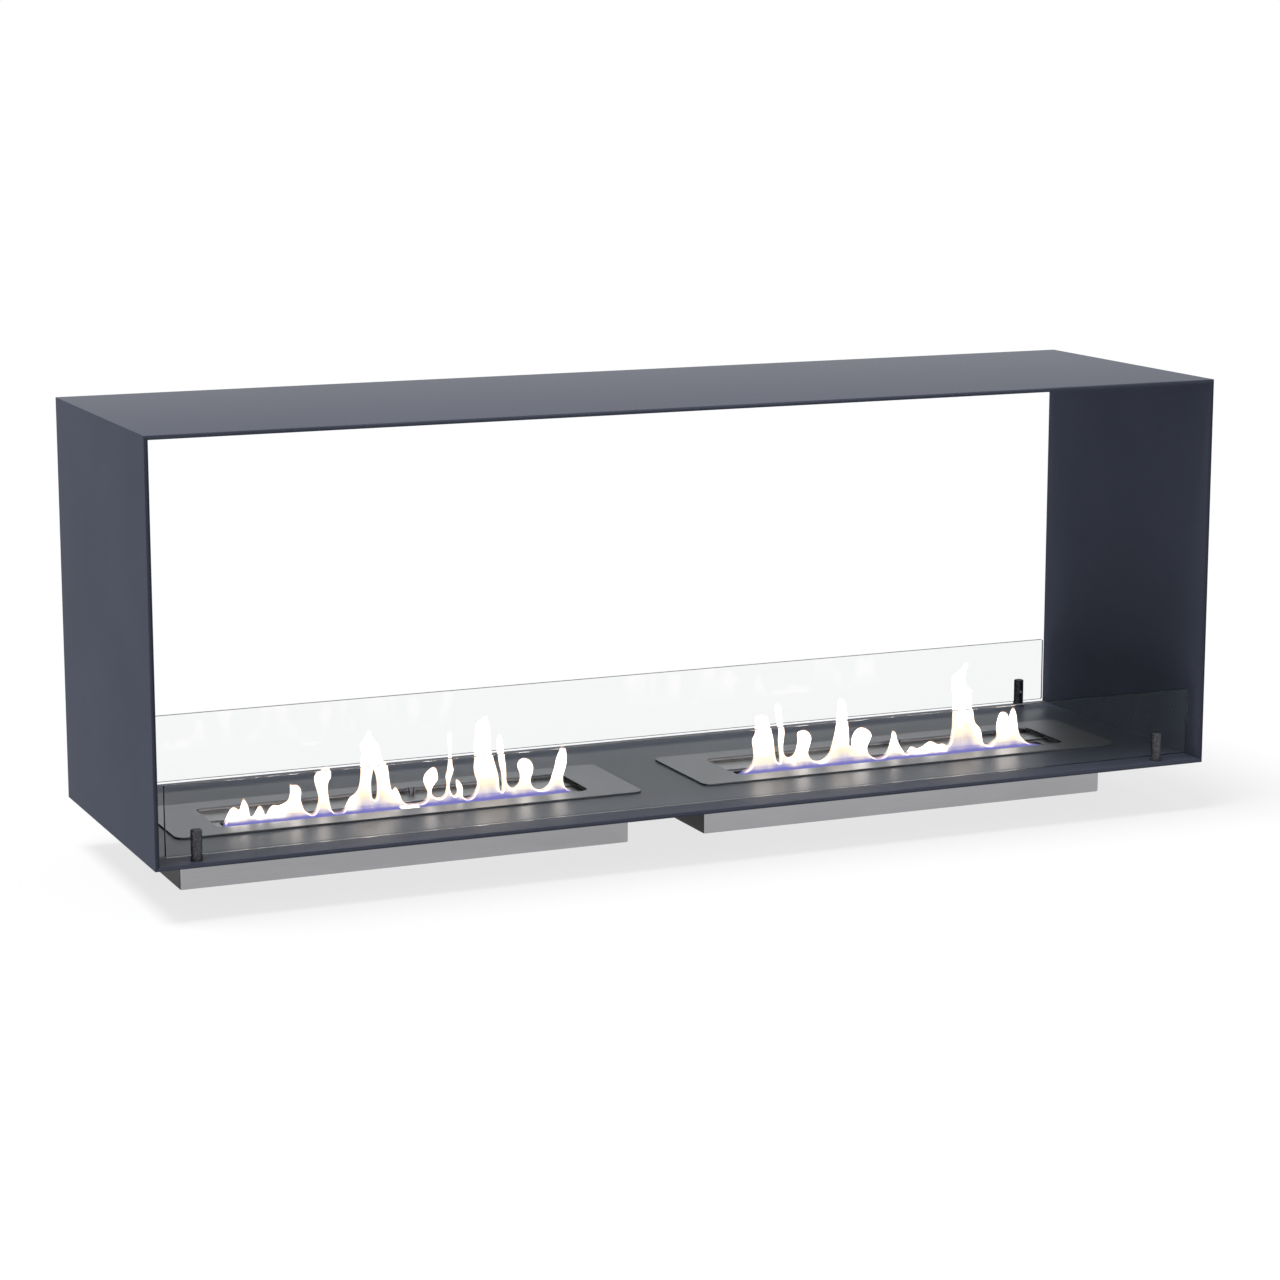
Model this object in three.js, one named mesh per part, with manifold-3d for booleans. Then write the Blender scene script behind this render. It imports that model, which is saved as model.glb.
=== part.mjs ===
// Double-sided (see-through) bio-ethanol fireplace.
// Millimetres, +Z up, X along the width, the front faces -Y.
// The origin is under the middle of the fireplace, on the surface that the burner housings stand on.

import * as THREE from 'three';
import { mergeVertices } from 'three/addons/utils/BufferGeometryUtils.js';
import Module from 'manifold-3d';

const wasm = await Module();
wasm.setup();

// Casing: four mitred sheet panels, open at the front and the back
const casingDepth = 400;
const casingHeight = 500;
const casingWall = 5;
const plateToSide = 53;
const plateGap = 84;

// Flame slot in the deck of each burner, where the fuel is poured in
const slotLength = 450;
const slotDepth = 44;
const slotCorner = 8;
const slotEndShelf = 15;
const slotFrontSpace = 14.5;

// Damper: the flat lid that slides forward over the slot to put the flames out
const damperThickness = 1.5;
const damperOverlap = 2;
const damperParkGap = 4;
const damperRearSpace = 2.5;
const damperTuck = 6;
const damperCorner = 3;
const slideGap = 0.3;

// Upright pull tab on the damper, a small folded channel that a tool hooks into
const tabHeight = 10;
const tabFootWidth = 6;
const tabTopWidth = 8.4;
const tabDepth = 4.2;
const tabSheet = 1.2;
const tabSideways = 36;
const tabFromRear = 17;

// Guide rails that hold the damper down on the deck
const railLipThickness = 1.5;
const railLipReach = 5;
const railFootWidth = 10;
const railEndSpace = 1;
const rivetHoleInset = 18;

// Rivets through the rails and the deck
const rivetRadius = 1.5;
const rivetHeadRadius = 3;
const rivetHeadHeight = 1;
const rivetTailRadius = 2.3;
const rivetTailHeight = 1.2;
const rivetHeadroom = 0.9;
const rivetSegments = 16;
const rivetDomeSteps = 3;

// Burner sheet metal
const deckThickness = 1.5;
const housingWall = 1.5;
const housingFold = 1.5;
const housingFoldSteps = 3;
const housingDrop = 64;
const housingEndSpace = 42.5;
const plateThickness = 2;
const plateCorner = 12;
const plateEndFlange = 10;
const plateSideFlange = 24.5;
const openingRim = 5.5;
const openingCorner = 12;
const cutoutClearance = 1;
const deckEndClearance = 1.5;
const deckSideClearance = 0.3;

// Fuel tank and the ceramic wool that soaks up the fuel
const tankWall = 1.5;
const tankClearance = 2.5;
const tankCorner = 3;
const woolClearance = 0.3;
const woolHeadspace = 3;
const woolCorner = 1;

// Glass panes
const glassThickness = 5;
const glassHeight = 85;
const glassEndGap = 11;
const glassCorner = 2;
const glassArris = 0.5;
const paneInset = 15;

// Slotted posts that carry the panes, placed as seen from outside each pane
const postRadius = 7;
const postHeight = 37;
const postChamfer = 0.8;
const postWeb = 1.5;
const postFromLeftEnd = 37;
const postFromRightEnd = 46;
const postSegments = 40;
const glassSlotGap = 0.3;

// Grub screw in the inner prong of each post
const grubRadius = 2;
const grubHeight = 20.5;
const grubSink = 0.2;
const grubSocketRadius = 1.15;
const grubSocketDepth = 1.8;

// Countersunk screw from under the floor panel into the foot of each post
const baseScrewRadius = 2.5;
const baseScrewHeadRadius = 4.75;
const baseScrewReach = 4.7;
const baseScrewEndGap = 0.3;
const baseScrewSink = 0.2;
const baseScrewSocketRadius = 1.7;
const baseScrewSocketDepth = 2;
const screwClearance = 0.2;
const screwSegments = 20;
const hexSides = 6;

// Steps in each quarter turn of a rounded corner
const cornerSteps = 6;

// How far every cutter runs past the surface that it cuts
const cutOverrun = 3;

// Burner sizes, worked out from the slot outwards
const openingLength = slotLength + 2 * slotEndShelf;
const damperDepth = slotDepth + 2 * damperOverlap;
const damperLength = openingLength + 2 * damperTuck;
const housingInnerDepth = slotFrontSpace + slotDepth + damperParkGap + damperDepth + damperRearSpace;
const housingInnerLength = damperLength + 2 * housingEndSpace;
const housingDepth = housingInnerDepth + 2 * housingWall;
const housingLength = housingInnerLength + 2 * housingWall;
const tankDepth = housingInnerDepth - 2 * tankClearance;
const tankLength = housingInnerLength - 2 * tankClearance;
const openingDepth = housingInnerDepth - 2 * openingRim;
const plateDepth = housingDepth + 2 * plateSideFlange;
const plateLength = housingLength + 2 * plateEndFlange;
const burnerCentre = (plateLength + plateGap) / 2;

// Places inside a burner, front to back from its centre
const slotFront = slotFrontSpace - housingInnerDepth / 2;
const slotRear = slotFront + slotDepth;
const damperFront = slotRear + damperParkGap;
const damperRear = damperFront + damperDepth;

// Levels, from the surface that the housings stand on
const floorBottom = housingDrop;
const floorTop = floorBottom + casingWall;
const casingTop = floorBottom + casingHeight;
const plateTop = floorTop + plateThickness;
const railFootHeight = damperThickness + 2 * slideGap;
const railHeight = railFootHeight + railLipThickness;
const deckTop = floorTop - rivetHeadroom - rivetHeadHeight - railHeight;
const deckBottom = deckTop - deckThickness;
const damperBottom = deckTop + slideGap;
const damperTop = damperBottom + damperThickness;

// Casing and pane sizes
const innerWidth = 2 * plateLength + plateGap + 2 * plateToSide;
const casingWidth = innerWidth + 2 * casingWall;
const glassLength = innerWidth - 2 * glassEndGap;
const glassLift = baseScrewReach + baseScrewEndGap + postWeb;
const glassSlotWidth = glassThickness + 2 * glassSlotGap;
const paneCentre = casingDepth / 2 - paneInset;
const leftPost = postFromLeftEnd - glassLength / 2;
const rightPost = glassLength / 2 - postFromRightEnd;

// Finishes
const casingPaint = new THREE.MeshStandardMaterial({ color: 0x4c4f5b, roughness: 0.45, metalness: 0.3 });
const brushedSteel = new THREE.MeshStandardMaterial({ color: 0xb4b5b9, roughness: 0.35, metalness: 1 });
const innerSteel = new THREE.MeshStandardMaterial({ color: 0x8f9094, roughness: 0.45, metalness: 1 });
const screwSteel = new THREE.MeshStandardMaterial({ color: 0xa6a7aa, roughness: 0.3, metalness: 1 });
const blackPost = new THREE.MeshStandardMaterial({ color: 0x141416, roughness: 0.4, metalness: 0.6 });
const ceramicWool = new THREE.MeshStandardMaterial({ color: 0xe9e5dc, roughness: 0.95, metalness: 0 });
const toughenedGlass = new THREE.MeshStandardMaterial({
  color: 0xd4e4de,
  roughness: 0.05,
  metalness: 0,
  transparent: true,
  opacity: 0.35,
});

// Axis swaps that keep every coordinate exact
const lathedAxisUp = new THREE.Matrix4().set(1, 0, 0, 0, 0, 0, -1, 0, 0, 1, 0, 0, 0, 0, 0, 1);
const axisAlongY = new THREE.Matrix4().set(1, 0, 0, 0, 0, 0, 1, 0, 0, -1, 0, 0, 0, 0, 0, 1);

function toSolid(geometry) {
  const bare = geometry.index ? geometry.toNonIndexed() : geometry.clone();
  bare.deleteAttribute('normal');
  bare.deleteAttribute('uv');
  const merged = mergeVertices(bare);
  const vertProperties = new Float32Array(merged.attributes.position.array);
  const triVerts = new Uint32Array(merged.index.array);
  return new wasm.Manifold(new wasm.Mesh({ numProp: 3, vertProperties, triVerts }));
}

function toGeometry(solid) {
  const mesh = solid.getMesh();
  const geometry = new THREE.BufferGeometry();
  geometry.setAttribute('position', new THREE.BufferAttribute(mesh.vertProperties, 3));
  geometry.setIndex(new THREE.BufferAttribute(mesh.triVerts, 1));
  geometry.computeVertexNormals();
  return geometry;
}

function cut(body, ...cutters) {
  let solid = toSolid(body);
  for (const cutter of cutters) {
    solid = solid.subtract(toSolid(cutter));
  }
  return toGeometry(solid);
}

// A rectangle about the origin, with rounded corners
function roundedRectangle(length, depth, corner) {
  const x = length / 2;
  const y = depth / 2;
  const radius = Math.min(corner, x, y);
  const shape = new THREE.Shape();
  shape.moveTo(radius - x, -y);
  shape.lineTo(x - radius, -y);
  shape.absarc(x - radius, radius - y, radius, -Math.PI / 2, 0);
  shape.lineTo(x, y - radius);
  shape.absarc(x - radius, y - radius, radius, 0, Math.PI / 2);
  shape.lineTo(radius - x, y);
  shape.absarc(radius - x, y - radius, radius, Math.PI / 2, Math.PI);
  shape.lineTo(-x, radius - y);
  shape.absarc(radius - x, radius - y, radius, Math.PI, 1.5 * Math.PI);
  return shape;
}

// An outline in the XY plane, raised from one level to another
function raised(shape, bottom, top) {
  const geometry = new THREE.ExtrudeGeometry(shape, {
    depth: top - bottom,
    bevelEnabled: false,
    curveSegments: cornerSteps / 2,
  });
  return geometry.translate(0, 0, bottom);
}

// An outline in the XZ plane, drawn through from the front to the back
function drawnThrough(points, front, back) {
  const shape = new THREE.Shape(points.map(([x, z]) => new THREE.Vector2(x, z)));
  const geometry = new THREE.ExtrudeGeometry(shape, { depth: back - front, bevelEnabled: false });
  return geometry.applyMatrix4(lathedAxisUp).translate(0, back, 0);
}

// A turned piece on the Z axis: points are radius and height, from the bottom up
function turned(points, segments) {
  const profile = points.map(([radius, height]) => new THREE.Vector2(radius, height));
  return new THREE.LatheGeometry(profile, segments).applyMatrix4(lathedAxisUp);
}

function uprightRod(radius, bottom, top, sides) {
  const rod = new THREE.CylinderGeometry(radius, radius, top - bottom, sides);
  return rod.applyMatrix4(lathedAxisUp).translate(0, 0, (bottom + top) / 2);
}

function block(length, depth, bottom, top) {
  return new THREE.BoxGeometry(length, depth, top - bottom).translate(0, 0, (bottom + top) / 2);
}

function piece(name, geometry, material) {
  const mesh = new THREE.Mesh(geometry, material);
  mesh.name = name;
  return mesh;
}

// Where the four posts stand: a pane's posts, and the same turned half round for the other side
function postPlaces() {
  const places = [];
  for (const side of [1, -1]) {
    for (const x of [leftPost, rightPost]) {
      places.push([side * x, -side * paneCentre]);
    }
  }
  return places;
}

function casingTopPanel() {
  const outer = casingWidth / 2;
  const inner = innerWidth / 2;
  const under = casingTop - casingWall;
  const outline = [[-inner, under], [inner, under], [outer, casingTop], [-outer, casingTop]];
  return piece('casing_top', drawnThrough(outline, -casingDepth / 2, casingDepth / 2), casingPaint);
}

function casingSidePanel(name, side) {
  const outer = side * casingWidth / 2;
  const inner = side * innerWidth / 2;
  const under = casingTop - casingWall;
  const outline = [[outer, floorBottom], [outer, casingTop], [inner, under], [inner, floorTop]];
  return piece(name, drawnThrough(outline, -casingDepth / 2, casingDepth / 2), casingPaint);
}

// A countersunk screw hole through the floor panel, open to the underside
function countersink() {
  const shank = baseScrewRadius + screwClearance;
  const mouth = baseScrewHeadRadius + screwClearance;
  const profile = [
    [0, floorBottom - cutOverrun],
    [mouth + baseScrewSink, floorBottom - cutOverrun],
    [mouth + baseScrewSink, floorBottom],
    [shank, floorBottom + mouth + baseScrewSink - shank],
    [shank, floorTop + cutOverrun],
    [0, floorTop + cutOverrun],
  ];
  return turned(profile, screwSegments);
}

function casingFloorPanel() {
  const outer = casingWidth / 2;
  const inner = innerWidth / 2;
  const outline = [[-outer, floorBottom], [outer, floorBottom], [inner, floorTop], [-inner, floorTop]];
  const panel = drawnThrough(outline, -casingDepth / 2, casingDepth / 2);
  const cutouts = [-burnerCentre, burnerCentre].map((x) => {
    const shape = roundedRectangle(
      housingLength + 2 * cutoutClearance,
      housingDepth + 2 * cutoutClearance,
      housingFold + cutoutClearance,
    );
    return raised(shape, floorBottom - cutOverrun, floorTop + cutOverrun).translate(x, 0, 0);
  });
  const holes = postPlaces().map(([x, y]) => countersink().translate(x, y, 0));
  return piece('casing_floor', cut(panel, ...cutouts, ...holes), casingPaint);
}

// A pane with lightly ground edges, standing along X
function glassPane() {
  const shape = roundedRectangle(glassLength - 2 * glassArris, glassHeight - 2 * glassArris, glassCorner);
  const pane = new THREE.ExtrudeGeometry(shape, {
    depth: glassThickness - 2 * glassArris,
    bevelThickness: glassArris,
    bevelSize: glassArris,
    bevelSegments: 1,
    curveSegments: cornerSteps / 2,
  });
  pane.translate(0, 0, glassArris - glassThickness / 2);
  return pane.applyMatrix4(lathedAxisUp).translate(0, 0, floorTop + glassLift + glassHeight / 2);
}

// A round post with a slot for the pane, a blind screw hole in its foot and a hole for the grub screw
function post() {
  const profile = [
    [0, floorTop],
    [postRadius, floorTop],
    [postRadius, floorTop + postHeight - postChamfer],
    [postRadius - postChamfer, floorTop + postHeight],
    [0, floorTop + postHeight],
  ];
  const slotFloor = floorTop + glassLift;
  const slot = block(
    2 * (postRadius + cutOverrun),
    glassSlotWidth,
    slotFloor,
    floorTop + postHeight + cutOverrun,
  );
  const footHole = uprightRod(
    baseScrewRadius + screwClearance,
    floorTop - cutOverrun,
    floorTop + baseScrewReach + baseScrewEndGap,
    screwSegments,
  );
  const grubHole = uprightRod(grubRadius + screwClearance, 0, postRadius + cutOverrun, screwSegments);
  grubHole.applyMatrix4(axisAlongY).translate(0, 0, floorTop + grubHeight);
  return cut(turned(profile, postSegments), slot, footHole, grubHole);
}

// The grub screw lies along Y, its socket towards the fire
function grubScrew() {
  const tip = glassSlotWidth / 2;
  const end = postRadius - grubSink;
  const screw = cut(
    uprightRod(grubRadius, tip, end, screwSegments),
    uprightRod(grubSocketRadius, end - grubSocketDepth, end + cutOverrun, hexSides),
  );
  return screw.applyMatrix4(axisAlongY).translate(0, 0, floorTop + grubHeight);
}

function baseScrew() {
  const bottom = floorBottom + baseScrewSink;
  const profile = [
    [0, bottom],
    [baseScrewHeadRadius, bottom],
    [baseScrewRadius, bottom + baseScrewHeadRadius - baseScrewRadius],
    [baseScrewRadius, floorTop + baseScrewReach],
    [0, floorTop + baseScrewReach],
  ];
  const socket = uprightRod(
    baseScrewSocketRadius,
    bottom - cutOverrun,
    bottom + baseScrewSocketDepth,
    hexSides,
  );
  return cut(turned(profile, screwSegments), socket);
}

// One pane with its two posts, built for the front and turned half round for the back
function paneSet(side, turn) {
  const set = new THREE.Group();
  set.rotation.z = turn;
  const pane = piece(`${side}_glass`, glassPane(), toughenedGlass);
  pane.position.y = -paneCentre;
  set.add(pane);
  for (const [end, x] of [['left', leftPost], ['right', rightPost]]) {
    const stand = new THREE.Group();
    stand.position.set(x, -paneCentre, 0);
    stand.add(piece(`${side}_${end}_post`, post(), blackPost));
    stand.add(piece(`${side}_${end}_grub_screw`, grubScrew(), screwSteel));
    stand.add(piece(`${side}_${end}_base_screw`, baseScrew(), screwSteel));
    set.add(stand);
  }
  return set;
}

// The open-topped outer box, folded from sheet, that hangs through the floor panel
function burnerHousing() {
  const shape = roundedRectangle(
    housingLength - 2 * housingFold,
    housingDepth - 2 * housingFold,
    housingFold,
  );
  const box = new THREE.ExtrudeGeometry(shape, {
    depth: floorTop,
    bevelThickness: housingFold,
    bevelSize: housingFold,
    bevelSegments: housingFoldSteps,
    curveSegments: cornerSteps / 2,
  });
  box.translate(0, 0, housingFold);
  const hollow = raised(
    roundedRectangle(housingInnerLength, housingInnerDepth, housingFold),
    housingWall,
    floorTop + cutOverrun,
  );
  const trim = block(
    housingLength + cutOverrun,
    housingDepth + cutOverrun,
    floorTop,
    floorTop + 2 * housingFold + cutOverrun,
  );
  return cut(box, hollow, trim);
}

function burnerPlate() {
  const sheet = raised(roundedRectangle(plateLength, plateDepth, plateCorner), floorTop, plateTop);
  const opening = raised(
    roundedRectangle(openingLength, openingDepth, openingCorner),
    floorTop - cutOverrun,
    plateTop + cutOverrun,
  );
  return cut(sheet, opening);
}

function fuelTank() {
  const box = raised(roundedRectangle(tankLength, tankDepth, tankCorner), housingWall, deckBottom);
  const hollow = raised(
    roundedRectangle(tankLength - 2 * tankWall, tankDepth - 2 * tankWall, tankCorner - tankWall),
    housingWall + tankWall,
    deckBottom + cutOverrun,
  );
  return cut(box, hollow);
}

function woolBlock() {
  const around = tankWall + woolClearance;
  const shape = roundedRectangle(tankLength - 2 * around, tankDepth - 2 * around, woolCorner);
  return raised(shape, housingWall + tankWall, deckBottom - woolHeadspace);
}

// Where the rivets go, on both rails of one burner
function rivetPlaces() {
  const x = damperLength / 2 + slideGap + railFootWidth / 2;
  const reach = housingInnerDepth / 2 - railEndSpace - rivetHoleInset;
  return [[-x, -reach], [-x, reach], [x, -reach], [x, reach]];
}

function rivetHole(x, y) {
  const hole = uprightRod(
    rivetRadius + screwClearance,
    deckBottom - cutOverrun,
    deckTop + railHeight + cutOverrun,
    rivetSegments,
  );
  return hole.translate(x, y, 0);
}

// The deck lies on the rim of the tank, between the walls of the housing
function slotDeck() {
  const shape = roundedRectangle(
    housingInnerLength - 2 * deckEndClearance,
    housingInnerDepth - 2 * deckSideClearance,
    housingFold,
  );
  const sheet = raised(shape, deckBottom, deckTop);
  const slot = raised(
    roundedRectangle(slotLength, slotDepth, slotCorner),
    deckBottom - cutOverrun,
    deckTop + cutOverrun,
  );
  slot.translate(0, (slotFront + slotRear) / 2, 0);
  const holes = rivetPlaces().map(([x, y]) => rivetHole(x, y));
  return cut(sheet, slot, ...holes);
}

// A rail: its foot stands on the deck beside the damper and its lip reaches over the damper's end
function guideRail(side) {
  const footInner = damperLength / 2 + slideGap;
  const outer = footInner + railFootWidth;
  const lipInner = damperLength / 2 - railLipReach;
  const lipBottom = deckTop + railFootHeight;
  const lipTop = deckTop + railHeight;
  const outline = [
    [footInner, deckTop],
    [outer, deckTop],
    [outer, lipTop],
    [lipInner, lipTop],
    [lipInner, lipBottom],
    [footInner, lipBottom],
  ];
  const reach = housingInnerDepth / 2 - railEndSpace;
  const bar = drawnThrough(outline.map(([x, z]) => [side * x, z]), -reach, reach);
  const holes = rivetPlaces()
    .filter(([x]) => Math.sign(x) === side)
    .map(([x, y]) => rivetHole(x, y));
  return cut(bar, ...holes);
}

function rivet() {
  const railTop = deckTop + railHeight;
  const profile = [
    [0, deckBottom - rivetTailHeight],
    [rivetTailRadius, deckBottom - rivetTailHeight],
    [rivetTailRadius, deckBottom],
    [rivetRadius, deckBottom],
    [rivetRadius, railTop],
    [rivetHeadRadius, railTop],
  ];
  for (let step = 1; step <= rivetDomeSteps; step += 1) {
    const angle = (step / rivetDomeSteps) * Math.PI / 2;
    const radius = step === rivetDomeSteps ? 0 : rivetHeadRadius * Math.cos(angle);
    profile.push([radius, railTop + rivetHeadHeight * Math.sin(angle)]);
  }
  return turned(profile, rivetSegments);
}

function damper() {
  const sheet = raised(roundedRectangle(damperLength, damperDepth, damperCorner), damperBottom, damperTop);
  return sheet.translate(0, (damperFront + damperRear) / 2, 0);
}

// The tab is a channel that widens upwards, open towards the front, standing on the damper
function damperTab() {
  const halfWidth = (height) => (tabFootWidth + (tabTopWidth - tabFootWidth) * height / tabHeight) / 2;
  const outline = (inset, bottom, top) => [
    [inset - halfWidth(bottom), bottom],
    [halfWidth(bottom) - inset, bottom],
    [halfWidth(top) - inset, top],
    [inset - halfWidth(top), top],
  ];
  const body = drawnThrough(outline(0, 0, tabHeight), -tabDepth / 2, tabDepth / 2);
  const channel = drawnThrough(
    outline(tabSheet, -cutOverrun, tabHeight + cutOverrun),
    -tabDepth / 2 - cutOverrun,
    tabDepth / 2 - tabSheet,
  );
  return cut(body, channel).translate(tabSideways, damperRear - tabFromRear, damperTop);
}

// One complete drop-in burner
function burner(name, centre) {
  const unit = new THREE.Group();
  unit.position.x = centre;
  unit.add(piece(`${name}_burner_housing`, burnerHousing(), brushedSteel));
  unit.add(piece(`${name}_burner_plate`, burnerPlate(), brushedSteel));
  unit.add(piece(`${name}_fuel_tank`, fuelTank(), innerSteel));
  unit.add(piece(`${name}_ceramic_wool`, woolBlock(), ceramicWool));
  unit.add(piece(`${name}_slot_deck`, slotDeck(), innerSteel));
  unit.add(piece(`${name}_damper`, damper(), brushedSteel));
  unit.add(piece(`${name}_damper_tab`, damperTab(), brushedSteel));
  unit.add(piece(`${name}_guide_rail_1`, guideRail(-1), innerSteel));
  unit.add(piece(`${name}_guide_rail_2`, guideRail(1), innerSteel));
  rivetPlaces().forEach(([x, y], index) => {
    unit.add(piece(`${name}_rail_rivet_${index + 1}`, rivet().translate(x, y, 0), screwSteel));
  });
  return unit;
}

const fireplace = new THREE.Group();
fireplace.add(casingTopPanel());
fireplace.add(casingFloorPanel());
fireplace.add(casingSidePanel('casing_left_side', -1));
fireplace.add(casingSidePanel('casing_right_side', 1));
fireplace.add(paneSet('front', 0));
fireplace.add(paneSet('rear', Math.PI));
fireplace.add(burner('left', -burnerCentre));
fireplace.add(burner('right', burnerCentre));

export default fireplace;
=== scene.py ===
"""Looks of a double-sided bio-ethanol fireplace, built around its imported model."""

import math

import bmesh
import bpy
import numpy as np
from bpy.props import FloatProperty, FloatVectorProperty, PointerProperty
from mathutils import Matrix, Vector, geometry, noise


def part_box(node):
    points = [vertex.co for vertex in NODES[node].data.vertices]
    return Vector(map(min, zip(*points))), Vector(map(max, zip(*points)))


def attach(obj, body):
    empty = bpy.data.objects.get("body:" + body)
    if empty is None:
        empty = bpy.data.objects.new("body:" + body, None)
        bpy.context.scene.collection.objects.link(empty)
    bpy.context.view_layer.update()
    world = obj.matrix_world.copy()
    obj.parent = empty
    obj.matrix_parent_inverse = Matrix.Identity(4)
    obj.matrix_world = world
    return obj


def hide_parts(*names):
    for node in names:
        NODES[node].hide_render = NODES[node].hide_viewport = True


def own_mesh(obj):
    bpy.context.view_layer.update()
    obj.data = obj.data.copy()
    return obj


bl_info = {
    "name": "See-through fireplace",
    "version": (1, 0, 0),
    "blender": (4, 5, 0),
    "location": "View3D > Sidebar > Fireplace",
    "description": "Finishes, flames and studio for a double-sided fireplace",
    "category": "Object",
}

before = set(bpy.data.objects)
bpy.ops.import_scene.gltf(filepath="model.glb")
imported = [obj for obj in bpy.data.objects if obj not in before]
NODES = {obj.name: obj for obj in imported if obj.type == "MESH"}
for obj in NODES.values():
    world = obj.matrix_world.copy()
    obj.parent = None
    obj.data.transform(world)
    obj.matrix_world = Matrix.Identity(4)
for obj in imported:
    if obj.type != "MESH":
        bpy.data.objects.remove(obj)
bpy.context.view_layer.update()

MM = 0.001
SIDES = ("left", "right")
POSTS = [f"{pane}_{side}" for pane in ("front", "rear") for side in SIDES]

# How the faces of the CAD nodes are joined and eased
WELD_REACH = 0.005 * MM
FLAT_ANGLE = math.radians(0.5)
EASED_ANGLE = math.radians(30)
EASE_SEGMENTS = 2

# Flame silhouettes seen from the front, in millimetres: along the slot from its left end,
# and up from the underside of the deck
LEFT_FLAME_EDGE = (
    (1, 6), (3.5, 11.5), (7, 18.5), (10, 23), (14.5, 24.5), (18.5, 22.5), (20.5, 20.5),
    (22.5, 26), (25, 32), (27, 35), (30, 29.5), (32.5, 23), (33.5, 16), (35, 11), (38, 12),
    (41.5, 17.5), (44.5, 22.5), (47, 24), (49.5, 20.5), (51.5, 15.5), (53.5, 11.5),
    (56, 15), (60, 20.5), (64.5, 22.5), (69.5, 21.5), (76, 23), (81.5, 26.5), (84, 34.5),
    (84, 43), (83.5, 49), (87, 45.5), (93.5, 45), (97.5, 41.5), (99, 35), (98, 27),
    (100, 19), (103, 12), (107.5, 8.5), (111, 7), (114.5, 8.5), (118, 15), (120, 25),
    (118, 35.5), (115.5, 44), (115, 52.5), (119, 58), (125.5, 60.5), (132, 63.5),
    (136.5, 60.5), (137.5, 54.5), (137, 49), (134, 44.5), (133, 36), (134, 25.5), (136, 14),
    (139, 7), (144.5, 6), (150, 6.5), (153, 9.5), (157.5, 17.5), (161, 22.5), (166, 25.5),
    (170.5, 30.5), (173, 38.5), (174.5, 51), (174.5, 61.5), (176.5, 75.5), (174.5, 86),
    (179, 92), (183.5, 98), (187, 104), (191, 96), (194, 90.5), (198.5, 86), (201.5, 77.5),
    (204.5, 65), (209.5, 60), (211.5, 49.5), (212.5, 39), (214.5, 28), (215.5, 26),
    (219, 31), (222, 27.5), (225.5, 19.5), (228.5, 12), (234, 7.5), (238, 7), (253.5, 7.5),
    (259, 11), (261, 18), (258, 26), (255.5, 33), (256.5, 41), (261.5, 47), (267, 50.5),
    (270.5, 51), (273, 48), (275, 39.5), (274.5, 33), (271, 29), (267.5, 23), (267.5, 16.5),
    (271, 12.5), (276.5, 11), (282, 13.5), (285, 20), (286, 28), (284.5, 36.5),
    (286.5, 44.5), (288, 55), (289.5, 67.5), (289, 82.5), (291.5, 92.5), (294, 82),
    (294, 67), (294.5, 50), (296, 46), (295, 39.5), (292, 31.5), (290.5, 23), (293, 15),
    (296, 12), (299.5, 16.5), (298.5, 24.5), (299.5, 32), (304, 29), (307, 23.5),
    (308, 17.5), (307.5, 10.5), (311.5, 7), (319, 9), (323.5, 16), (326, 24), (322.5, 37),
    (321.5, 45.5), (323, 58), (323, 71), (324.5, 83.5), (325.5, 96), (329, 102),
    (335.5, 106.5), (340.5, 109.5), (342, 105), (344, 94), (345, 77), (346, 66.5),
    (348.5, 56), (351.5, 45), (354.5, 34), (356, 23.5), (356.5, 15), (358, 11.5), (359, 15),
    (359, 23), (358.5, 33.5), (356.5, 42.5), (355, 51), (354, 59.5), (353, 70), (354, 80.5),
    (357.5, 84), (360, 80), (363, 67), (364, 54.5), (365.5, 43.5), (366, 33), (366, 24.5),
    (368, 18.5), (373.5, 14.5), (379, 17.5), (382.5, 23), (383, 31.5), (380.5, 38),
    (380.5, 44.5), (384, 49.5), (389.5, 51), (397, 48), (401.5, 40.5), (401, 32),
    (398, 23.5), (399, 16.5), (403.5, 11), (410.5, 9), (417, 10.5), (422.5, 15.5),
    (426, 25), (429.5, 35.5), (432, 46), (436.5, 56.5), (440, 60.5), (444.5, 59),
    (446.5, 51), (446.5, 40.5), (444, 30), (442, 22), (443, 12), (446.5, 6.5), (452, 5.5),
)
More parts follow.
